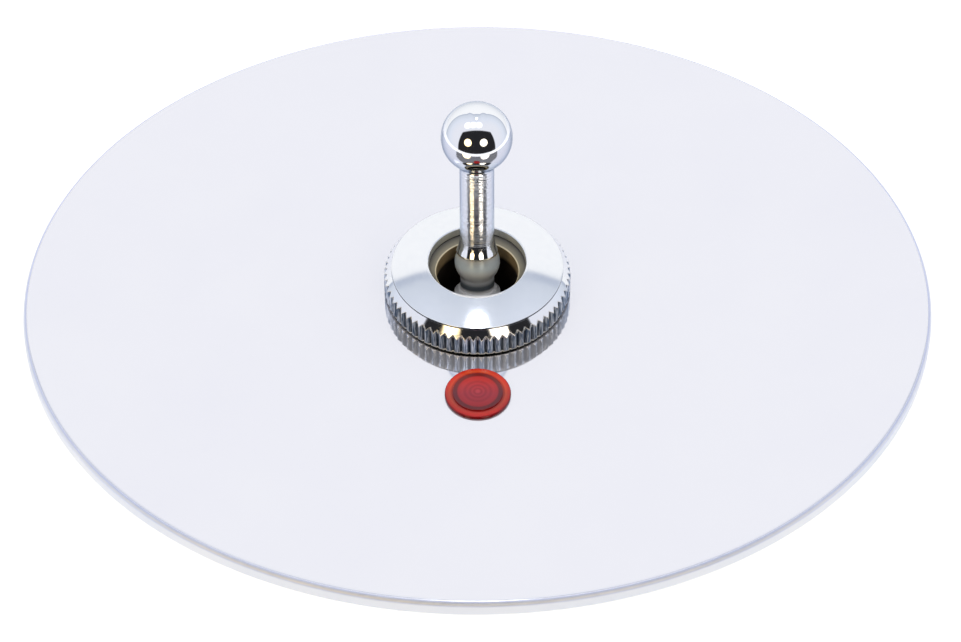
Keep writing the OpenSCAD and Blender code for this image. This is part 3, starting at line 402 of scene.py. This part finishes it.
def nickel_brass():
    """Turned brass under a thin nickel wash: grey-beige at the mouth, oxide brown in the bore, threaded, with
    painted shade deep in the bore and under the ring's lip and a painted highlight on the bore's corner.
    """
    material, tree, place = new_material("nickel_washed_brass")
    flat = add(tree, "VectorMath", {0: place, 1: (1, 1, 0)}, operation="MULTIPLY")
    radius = add(tree, "VectorMath", {0: flat}, operation="LENGTH")
    height = add(tree, "SeparateXYZ", {"Vector": place}).outputs["Z"]
    bore_top = bushing_top / mm - MOUTH_CHAMFER_H
    mouth = add(tree, "MapRange", {"Value": height, "From Min": bore_top - 0.03, "From Max": bore_top + 0.02})
    # Painted shade: deeper in the bore the brown darkens to near black
    deep = add(tree, "MapRange", {"Value": height, "From Min": bore_top - 1.2, "From Max": bore_top - 1.7})
    outer = add(tree, "MapRange", {"Value": radius, "From Min": BUSHING_R - 0.15,
                                   "From Max": BUSHING_R - 0.1})
    cloud = add(tree, "TexNoise", {"Vector": place, "Scale": 1 / 1.2, "Detail": 3})
    brown = add(tree, "Mix", {"Factor": cloud, "A": srgb("#a08a66"), "B": srgb("#b09a76")}, data_type="RGBA")
    bore = add(tree, "Mix", {"Factor": deep, "A": brown, "B": srgb("#2a2118")}, data_type="RGBA")
    pale = add(tree, "Math", {0: mouth, 1: outer}, operation="MAXIMUM")
    # Painted shade: the chamfer's colour darkens towards its top, under the ring's lip
    rise = add(tree, "MapRange", {"Value": height, "From Min": bore_top, "From Max": bushing_top / mm})
    wash = add(tree, "Mix", {"Factor": rise, "A": srgb("#aaa18a"), "B": srgb("#55534f")}, data_type="RGBA")
    faced = add(tree, "Mix", {"Factor": pale, "A": bore, "B": wash}, data_type="RGBA")
    # A thin pale line is painted on the corner between chamfer and bore: a painted highlight
    from_corner = add(tree, "Math", {0: height, 1: bore_top}, operation="SUBTRACT")
    off_corner = add(tree, "Math", {0: from_corner}, operation="ABSOLUTE")
    corner = add(tree, "MapRange", {"Value": off_corner, "From Min": 0.08, "From Max": 0.04})
    inside = add(tree, "Math", {0: 1, 1: outer}, operation="SUBTRACT")
    painted_highlight = add(tree, "Math", {0: corner, 1: inside}, operation="MULTIPLY")
    colour = add(tree, "Mix", {"Factor": painted_highlight, "A": faced, "B": srgb("#f0dfb8")}, data_type="RGBA")
    metal = add(tree, "MapRange", {"Value": pale, "To Min": 0.2, "To Max": 1})
    turns = add(tree, "TexNoise", {"W": height, "Scale": 1 / 0.15, "Detail": 2}, noise_dimensions="1D")
    satin = add(tree, "MapRange", {"Value": turns, "To Min": 0.28, "To Max": 0.4})
    gloss = add(tree, "Mix", {"Factor": pale, "A": 0.7, "B": satin})
    turn = add(tree, "Math", {0: height, 1: 2 * pi / BUSHING_PITCH}, operation="MULTIPLY")
    wave = add(tree, "Math", {0: turn}, operation="SINE")
    thread = add(tree, "Math", {0: wave, 1: outer}, operation="MULTIPLY")
    marks = add(tree, "Bump", {"Height": turns, "Strength": 0.4, "Distance": 0.004 * mm})
    bump = add(tree, "Bump", {"Height": thread, "Strength": 0.8, "Distance": 0.15 * mm, "Normal": marks})
    close_material(tree, {"Base Color": colour, "Metallic": metal, "Roughness": gloss, "Normal": bump})
    return material


def red_lens():
    """Moulded red polycarbonate: glossy, with the rings under the window showing, and light painted in: a
    dark ring, a bright orange rim, a shaded side and a lit back.
    """
    material, tree, place = new_material("moulded_red_polycarbonate")
    from_axis = add(tree, "VectorMath", {0: place, 1: lens_axis / mm}, operation="SUBTRACT")
    flat = add(tree, "VectorMath", {0: from_axis, 1: (1, 1, 0)}, operation="MULTIPLY")
    radius = add(tree, "VectorMath", {0: flat}, operation="LENGTH")
    # The rings carry a painted dark ring, a painted bright rim and a painted shaded side
    edge = LENS_RINGS_AND_SHADING[-1][0]
    share = add(tree, "Math", {0: radius, 1: edge}, operation="DIVIDE")
    rings = add(tree, "ValToRGB", {"Fac": share})
    set_stops(rings.color_ramp, [(ring / edge, code) for ring, code in LENS_RINGS_AND_SHADING])
    # Painted light from front to back: the front darker, the back lit
    along = add(tree, "SeparateXYZ", {"Vector": from_axis}).outputs["Y"]
    back = add(tree, "MapRange", {"Value": along, "From Min": -edge, "From Max": edge})
    lens_light = add(tree, "ValToRGB", {"Fac": back})
    set_stops(lens_light.color_ramp, LENS_LIGHT_FRONT_TO_BACK)
    colour = add(tree, "Mix", {"Factor": 1, "A": rings, "B": lens_light}, data_type="RGBA", blend_type="MULTIPLY")
    cloud = add(tree, "TexNoise", {"Vector": place, "Scale": 1 / 1.5, "Detail": 2})
    gloss = add(tree, "MapRange", {"Value": cloud, "To Min": 0.05, "To Max": 0.12})
    ripple = add(tree, "Bump", {"Height": cloud, "Strength": 0.3, "Distance": 0.02 * mm})
    close_material(tree, {"Base Color": colour, "Roughness": gloss, "IOR": 1.58, "Specular IOR Level": 0.3,
                          "Normal": ripple, "Transmission Weight": 0.1})
    return material


def zinc_steel():
    """Pressed steel with bright zinc: bluish with yellow clouds, a fine grain and edges rounded by a die."""
    material, tree, place = new_material("zinc_plated_steel")
    cloud = add(tree, "TexNoise", {"Vector": place, "Scale": 1 / 5, "Detail": 3})
    grain = add(tree, "TexNoise", {"Vector": place, "Scale": 1 / 0.2, "Detail": 3})
    colour = add(tree, "Mix", {"Factor": cloud, "A": srgb("#b3bcc9"), "B": srgb("#cfcabb")}, data_type="RGBA")
    gloss = add(tree, "MapRange", {"Value": grain, "To Min": 0.26, "To Max": 0.44})
    edges = add(tree, "Bevel", {"Radius": 0.1 * mm}, samples=4)
    bump = add(tree, "Bump", {"Height": grain, "Strength": 0.3, "Distance": 0.01 * mm, "Normal": edges})
    close_material(tree, {"Base Color": colour, "Metallic": 1, "Roughness": gloss, "Normal": bump})
    return material


def spring_steel():
    """Hard-drawn steel: darker and greyer than the plated pieces, with streaks along the draw."""
    material, tree, place = new_material("hard_drawn_spring_steel")
    streak = add(tree, "TexNoise", {"Vector": place, "Scale": 1 / 0.3, "Detail": 4})
    colour = add(tree, "Mix", {"Factor": streak, "A": srgb("#8d9096"), "B": srgb("#b2b5ba")},
                 data_type="RGBA")
    gloss = add(tree, "MapRange", {"Value": streak, "To Min": 0.22, "To Max": 0.4})
    close_material(tree, {"Base Color": colour, "Metallic": 1, "Roughness": gloss})
    return material


def phenolic():
    """Black phenolic, compression moulded: a dull sheen, faint flow clouds and a grain from the tool."""
    material, tree, place = new_material("moulded_black_phenolic")
    flow = add(tree, "TexNoise", {"Vector": place, "Scale": 1 / 3, "Detail": 4, "Distortion": 1.2})
    grain = add(tree, "TexNoise", {"Vector": place, "Scale": 1 / 0.18, "Detail": 2})
    colour = add(tree, "Mix", {"Factor": flow, "A": srgb("#19181b"), "B": srgb("#2b292d")}, data_type="RGBA")
    gloss = add(tree, "MapRange", {"Value": flow, "To Min": 0.32, "To Max": 0.52})
    edges = add(tree, "Bevel", {"Radius": 0.15 * mm}, samples=4)
    bump = add(tree, "Bump", {"Height": grain, "Strength": 0.35, "Distance": 0.015 * mm, "Normal": edges})
    close_material(tree, {"Base Color": colour, "Roughness": gloss, "IOR": 1.6, "Normal": bump})
    return material


def nylon():
    """Natural nylon, injection moulded: milky, a little translucent, with a soft satin skin."""
    material, tree, place = new_material("moulded_natural_nylon")
    cloud = add(tree, "TexNoise", {"Vector": place, "Scale": 1 / 2.5, "Detail": 3})
    grain = add(tree, "TexNoise", {"Vector": place, "Scale": 1 / 0.25, "Detail": 2})
    colour = add(tree, "Mix", {"Factor": cloud, "A": srgb("#ddd5c1"), "B": srgb("#e9e3d4")}, data_type="RGBA")
    gloss = add(tree, "MapRange", {"Value": grain, "To Min": 0.36, "To Max": 0.5})
    edges = add(tree, "Bevel", {"Radius": 0.12 * mm}, samples=4)
    bump = add(tree, "Bump", {"Height": grain, "Strength": 0.25, "Distance": 0.012 * mm, "Normal": edges})
    close_material(tree, {"Base Color": colour, "Roughness": gloss, "IOR": 1.53, "Normal": bump,
                          "Subsurface Weight": 0.15, "Subsurface Radius": (1, 0.9, 0.7),
                          "Subsurface Scale": 0.6 * mm})
    return material


def brass():
    """Stamped brass strip: golden, with rolling lines and brown tarnish in clouds."""
    material, tree, place = new_material("stamped_brass")
    rolled = add(tree, "VectorMath", {0: place, 1: (1, 1, 0.08)}, operation="MULTIPLY")
    lines = add(tree, "TexNoise", {"Vector": rolled, "Scale": 1 / 0.2, "Detail": 3})
    cloud = add(tree, "TexNoise", {"Vector": place, "Scale": 1 / 2.5, "Detail": 4})
    colour = add(tree, "Mix", {"Factor": cloud, "A": srgb("#c49a48"), "B": srgb("#dfbd6c")}, data_type="RGBA")
    gloss = add(tree, "MapRange", {"Value": lines, "To Min": 0.2, "To Max": 0.38})
    edges = add(tree, "Bevel", {"Radius": 0.08 * mm}, samples=4)
    bump = add(tree, "Bump", {"Height": lines, "Strength": 0.3, "Distance": 0.006 * mm, "Normal": edges})
    close_material(tree, {"Base Color": colour, "Metallic": 1, "Roughness": gloss, "Normal": bump})
    return material


def silver():
    """Silver contact rivets, headed cold: white metal with a faint yellow bloom."""
    material, tree, place = new_material("cold_headed_silver")
    bloom = add(tree, "TexNoise", {"Vector": place, "Scale": 1 / 0.6, "Detail": 3})
    colour = add(tree, "Mix", {"Factor": bloom, "A": srgb("#efece4"), "B": srgb("#e3d9c2")}, data_type="RGBA")
    gloss = add(tree, "MapRange", {"Value": bloom, "To Min": 0.18, "To Max": 0.34})
    close_material(tree, {"Base Color": colour, "Metallic": 1, "Roughness": gloss})
    return material


def lamp_glass():
    """Drawn glass of the glow lamp: clear, with draw lines that bend the light a little."""
    material, tree, place = new_material("drawn_lamp_glass")
    drawn = add(tree, "VectorMath", {0: place, 1: (1, 1, 0.1)}, operation="MULTIPLY")
    lines = add(tree, "TexNoise", {"Vector": drawn, "Scale": 1 / 0.5, "Detail": 2})
    ripple = add(tree, "Bump", {"Height": lines, "Strength": 0.2, "Distance": 0.01 * mm})
    gloss = add(tree, "MapRange", {"Value": lines, "To Min": 0.0, "To Max": 0.04})
    close_material(tree, {"Base Color": srgb("#fbf6f0"), "Roughness": gloss, "IOR": 1.5, "Normal": ripple,
                          "Transmission Weight": 1})
    return material


def ceramic():
    """Lacquered carbon resistor on a ceramic core: tan lacquer with three painted rings."""
    material, tree, place = new_material("lacquered_ceramic")
    low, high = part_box("ballast_resistor")
    height = add(tree, "SeparateXYZ", {"Vector": place}).outputs["Z"]
    share = add(tree, "MapRange", {"Value": height, "From Min": low.z / mm, "From Max": high.z / mm})
    rings = add(tree, "ValToRGB", {"Fac": share})
    rings.color_ramp.interpolation = "CONSTANT"
    set_stops(rings.color_ramp, RESISTOR_RINGS)
    grain = add(tree, "TexNoise", {"Vector": place, "Scale": 1 / 0.3, "Detail": 2})
    gloss = add(tree, "MapRange", {"Value": grain, "To Min": 0.2, "To Max": 0.36})
    close_material(tree, {"Base Color": rings.outputs["Color"], "Roughness": gloss})
    return material


def lead_sleeve():
    """Extruded vinyl sleeve, dark red and slightly rippled, stripped to tinned wire under the clamps."""
    material, tree, place = new_material("extruded_red_vinyl")
    x, y, z = add(tree, "SeparateXYZ", {"Vector": place}).outputs
    off_x = add(tree, "Math", {0: x}, operation="ABSOLUTE")
    off_y = add(tree, "Math", {0: y}, operation="ABSOLUTE")
    to_screw = add(tree, "Math", {0: off_x, 1: off_y}, operation="MINIMUM")
    near = add(tree, "MapRange", {"Value": to_screw, "From Min": BARE_LEAD_L + 0.05, "From Max": BARE_LEAD_L})
    low = add(tree, "MapRange", {"Value": z, "From Min": screw_z / mm, "From Max": screw_z / mm - 0.2})
    bare = add(tree, "Math", {0: near, 1: low}, operation="MULTIPLY")
    cloud = add(tree, "TexNoise", {"Vector": place, "Scale": 1 / 1.5, "Detail": 3})
    vinyl = add(tree, "Mix", {"Factor": cloud, "A": srgb("#6d1416"), "B": srgb("#82201f")}, data_type="RGBA")
    colour = add(tree, "Mix", {"Factor": bare, "A": vinyl, "B": srgb("#c6c7c6")}, data_type="RGBA")
    gloss = add(tree, "MapRange", {"Value": cloud, "To Min": 0.28, "To Max": 0.42})
    ripple = add(tree, "Bump", {"Height": cloud, "Strength": 0.3, "Distance": 0.02 * mm})
    close_material(tree, {"Base Color": colour, "Metallic": bare, "Roughness": gloss, "Normal": ripple})
    return material


# Pieces


def add_piece(name, mesh, body, slot):
    """Links a finished mesh as a piece of the part that rides on a body."""
    data = bpy.data.meshes.new(name)
    mesh.to_mesh(data)
    mesh.free()
    data.shade_smooth()
    data.set_sharp_from_angle(angle=SHARP_ANGLE)
    piece = bpy.data.objects.new(name, data)
    bpy.context.scene.collection.objects.link(piece)
    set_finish(piece, slot)
    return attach(piece, body)


def oval_plate():
    """The face plate with a finely stepped edge, because a mirror shows every facet."""
    segments = 512
    hole_segments = 96
    steps = 14
    rim_w = 0.1 * mm
    back = plate_low.z
    top = plate_top - PLATE_SEAT_GAP * mm
    edge_r = PLATE_EDGE_R * mm
    mesh = bmesh.new()

    def ring(half_w, half_h, y, z, count):
        turns = [2 * pi * i / count for i in range(count)]
        return [mesh.verts.new((half_w * cos(t), y + half_h * sin(t), z)) for t in turns]

    def oval(inset, z):
        return ring(plate_high.x - inset, plate_high.y - inset, 0, z, segments)

    def hole(radius, y, z):
        return ring(radius * mm, radius * mm, y, z, hole_segments)

    def wall(lower, upper):
        for i in range(len(lower)):
            j = (i + 1) % len(lower)
            mesh.faces.new((lower[i], lower[j], upper[j], upper[i]))

    rows = [oval(0, back)]
    for i in range(steps + 1):
        turn = pi / 2 * i / steps
        rows.append(oval(edge_r * (1 - cos(turn)), top - edge_r * (1 - sin(turn))))
    rows.append(oval(edge_r + rim_w, top))
    for lower, upper in zip(rows, rows[1:]):
        wall(lower, upper)
    holes = {z: [hole(BUSHING_HOLE_R, 0, z), hole(LENS_HOLE_R, lens_axis.y, z)] for z in (back, top)}
    for lower, upper in zip(holes[back], holes[top]):
        wall(upper, lower)
    for outline, z in ((rows[0], back), (rows[-1], top)):
        loops = [outline] + holes[z]
        rim = [mesh.edges.get(pair) for loop in loops for pair in zip(loop, loop[1:] + loop[:1])]
        bmesh.ops.triangle_fill(mesh, edges=rim, use_beauty=True)
    bmesh.ops.recalc_face_normals(mesh, faces=mesh.faces)
    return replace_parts(add_piece("oval_plate", mesh, "base", "polished_steel"), "face_plate")


def rounded_copy(node, name):
    """A tube of the part again, with a round skin in place of its flat sides."""
    same_spot = 0.001 * mm
    level = radians(2)
    rounds = 2
    mesh = bmesh.new()
    mesh.from_mesh(nodes[node].data)
    bmesh.ops.remove_doubles(mesh, verts=mesh.verts, dist=same_spot)
    bmesh.ops.dissolve_limit(mesh, angle_limit=level, verts=mesh.verts, edges=mesh.edges)
    piece = add_piece(name, mesh, nodes[node]["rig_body"], nodes[node].data.materials[0].name)
    skin = piece.modifiers.new("round_skin", "SUBSURF")
    skin.levels = rounds
    skin.render_levels = rounds
    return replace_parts(piece, node)


def screw_threads():
    """Helical ridges on the free ends of the three terminal screws."""
    steps = 32
    pitch = SCREW_PITCH * mm
    ridge = 0.16 * pitch
    half_w = 0.4 * pitch
    plain_turns = 1.5
    profile = [(-ridge, -half_w), (ridge, 0), (-ridge, half_w)]
    shank = (SCREW_HEAD_H + SCREW_L) * mm
    seats = [
        (Vector((0, screws_low.y + shank, screw_z)), Vector((0, -1, 0))),
        (Vector((0, screws_high.y - shank, screw_z)), Vector((0, 1, 0))),
        (Vector((screws_high.x - shank, 0, screw_z)), Vector((1, 0, 0))),
    ]
    mesh = bmesh.new()
    for end, outwards in seats:
        seat = Matrix.Translation(end) @ outwards.to_track_quat("Z", "Y").to_matrix().to_4x4()
        rows = []
        for i in range(round(steps * (SCREW_FREE_L / SCREW_PITCH - plain_turns))):
            turn = 2 * pi * i / steps
            climb = pitch * (1 + i / steps)
            spots = [(SCREW_R * mm + out, climb + rise) for out, rise in profile]
            points = [Vector((r * cos(turn), r * sin(turn), z)) for r, z in spots]
            rows.append([mesh.verts.new(seat @ point) for point in points])
        for a, b in zip(rows, rows[1:]):
            mesh.faces.new((a[0], b[0], b[1], a[1]))
            mesh.faces.new((a[1], b[1], b[2], a[2]))
            mesh.faces.new((a[2], b[2], b[0], a[0]))
        mesh.faces.new(rows[0])
        mesh.faces.new(rows[-1][::-1])
    bmesh.ops.recalc_face_normals(mesh, faces=mesh.faces)
    return add_piece("screw_threads", mesh, "base", "zinc_steel")


# Stage


def light_tent():
    """Soft light from a white tent: pale lilac top and sides, a dark front with two warm lamps in it."""
    world = bpy.data.worlds.new("light_tent")
    bpy.context.scene.world = world
    world.use_nodes = True
    tree = world.node_tree
    tree.nodes.clear()
    way = add(tree, "TexCoord").outputs["Generated"]
    x, y, z = add(tree, "SeparateXYZ", {"Vector": way}).outputs
    across = add(tree, "Math", {0: x}, operation="ABSOLUTE")
    forwards = add(tree, "Math", {0: y, 1: -1}, operation="MULTIPLY")
    # Past the edge of the backdrop, which leans further forward in its middle, the tent is lilac
    lean = add(tree, "MapRange", {"Value": across, "From Min": 0.13, "From Max": 0.27, "To Min": 0.65,
                                  "To Max": 0.9})
    beyond = add(tree, "Math", {0: across, 1: 0.4}, operation="SUBTRACT", use_clamp=True)
    wrap = add(tree, "Math", {0: beyond, 1: 1.2, 2: forwards}, operation="MULTIPLY_ADD")
    past_edge = add(tree, "Math", {0: z, 1: lean, 2: wrap}, operation="MULTIPLY_ADD")
    top = add(tree, "MapRange", {"Value": past_edge, "From Min": 0, "From Max": 0.04})
    lilac = add(tree, "ValToRGB", {"Fac": past_edge})
    set_stops(lilac.color_ramp, TENT_TOP)
    tent = add(tree, "Mix", {"Factor": top, "A": srgb(TENT_WHITE), "B": lilac}, data_type="RGBA")
    # The open front, bounded by the top's front edge and by two slanted sides
    front_edge = add(tree, "VectorMath", {0: way, 1: FRONT_TOP_EDGE}, operation="DOT_PRODUCT")
    inside_top = add(tree, "MapRange", {"Value": front_edge, "From Min": 0, "From Max": 0.05})
    slant = add(tree, "VectorMath", {0: way, 1: FRONT_SIDE_SLANT}, operation="DOT_PRODUCT")
    side_room = add(tree, "Math", {0: slant, 1: across}, operation="SUBTRACT")
    inside_sides = add(tree, "MapRange", {"Value": side_room, "From Min": 0, "From Max": 0.08})
    opening = add(tree, "Math", {0: inside_top, 1: inside_sides}, operation="MULTIPLY")
    room = add(tree, "Mix", {"Factor": opening, "A": tent, "B": srgb(ROOM_DARK)}, data_type="RGBA")
    light = add(tree, "Background", {"Color": room, "Strength": 1})
    for direction, spread, strength, code in LAMPS:
        facing = add(tree, "VectorMath", {0: way, 1: Vector(direction).normalized()}, operation="DOT_PRODUCT")
        disc = add(tree, "MapRange", {"Value": facing, "From Min": cos(radians(spread * (1 + LAMP_SOFT))),
                                      "From Max": cos(radians(spread * (1 - LAMP_SOFT))),
                                      "To Max": strength})
        lamp = add(tree, "Background", {"Color": srgb(code), "Strength": disc})
        light = add(tree, "AddShader", {0: light, 1: lamp})
    white = add(tree, "Background", {"Color": srgb(TENT_WHITE), "Strength": 1})
    to_camera = add(tree, "LightPath").outputs["Is Camera Ray"]
    seen = add(tree, "MixShader", {"Fac": to_camera, 1: light, 2: white})
    add(tree, "OutputWorld", {"Surface": seen})


def paper_floor():
    """White paper, far below the part: it keeps a soft shadow and looks white where it is lit."""
    material, tree, place = new_material("matt_white_paper")
    fibre = add(tree, "TexNoise", {"Vector": place, "Scale": 1 / 2, "Detail": 2})
    colour = add(tree, "Mix", {"Factor": fibre, "A": srgb("#e3e3e4"), "B": srgb("#e9e9ea")}, data_type="RGBA")
    paper = add(tree, "BsdfDiffuse", {"Color": colour})
    rays = add(tree, "LightPath").outputs
    bounced = add(tree, "Math", {0: rays["Is Glossy Ray"], 1: rays["Is Transmission Ray"]},
                  operation="MAXIMUM")
    seen = add(tree, "Math", {0: rays["Is Camera Ray"], 1: bounced}, operation="MAXIMUM")
    lift = add(tree, "Math", {0: seen, 1: FLOOR_GLOW}, operation="MULTIPLY")
    glow = add(tree, "Emission", {"Color": srgb(TENT_WHITE), "Strength": lift})
    both = add(tree, "AddShader", {0: paper, 1: glow})
    add(tree, "OutputMaterial", {"Surface": both})
    mesh = bmesh.new()
    bmesh.ops.create_circle(mesh, cap_ends=True, segments=96, radius=FLOOR_R)
    data = bpy.data.meshes.new("floor")
    mesh.to_mesh(data)
    mesh.free()
    data.materials.append(material)
    floor = bpy.data.objects.new("floor", data)
    floor.location.z = -FLOOR_DROP
    bpy.context.scene.collection.objects.link(floor)


def camera():
    """Looks along +Y and down, so that the plate's centre falls on its pixel."""
    data = bpy.data.cameras.new("camera")
    data.sensor_width = SENSOR_MM
    data.lens = SENSOR_MM * FOCAL_PX / IMAGE_SIZE.x
    data.clip_start = 0.01
    target = Vector((0, 0, plate_top))
    eye = target + VIEW_DISTANCE * Vector((0, -cos(VIEW_ELEVATION), sin(VIEW_ELEVATION)))
    to_plate = (target - eye).normalized()
    right = Vector((1, 0, 0))
    offset = IMAGE_SIZE / 2 - PLATE_CENTRE_PX
    ahead = (to_plate * FOCAL_PX + right * offset.x - right.cross(to_plate) * offset.y).normalized()
    right = ahead.cross(Vector((0, 0, 1))).normalized()
    up = right.cross(ahead) * cos(VIEW_ROLL) + right * sin(VIEW_ROLL)
    pose = Matrix((ahead.cross(up), up, -ahead)).transposed().to_4x4()
    pose.translation = eye
    view = bpy.data.objects.new("camera", data)
    view.matrix_world = pose
    bpy.context.scene.collection.objects.link(view)
    bpy.context.scene.camera = view


# Build

finishes = {
    "polished_steel": polished_steel(), "chrome": turned_chrome(), "zinc_steel": zinc_steel(),
    "nickel_brass": nickel_brass(), "phenolic": phenolic(), "spring_steel": spring_steel(),
    "nylon": nylon(), "brass": brass(), "silver": silver(), "red_lens": red_lens(),
    "lamp_glass": lamp_glass(), "ceramic": ceramic(), "lead_sleeve": lead_sleeve(),
}
own_finishes = {"toggle_lever": lever_chrome()}
pieces = [
    oval_plate(), screw_threads(),
    rounded_copy("lamp_leads", "sleeved_leads"), rounded_copy("lever_spring", "coil_spring"),
]
for piece in pieces:
    piece.data.materials.append(finishes[piece["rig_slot"]])
for subpart in frame["record"]["subparts"]:
    name = subpart["node"]
    nodes[name].data.materials[0] = own_finishes.get(name, finishes[subpart["material_slot"]])

camera()
light_tent()
paper_floor()
bpy.context.scene.view_settings.view_transform = "Standard"

bpy.context.view_layer.update()
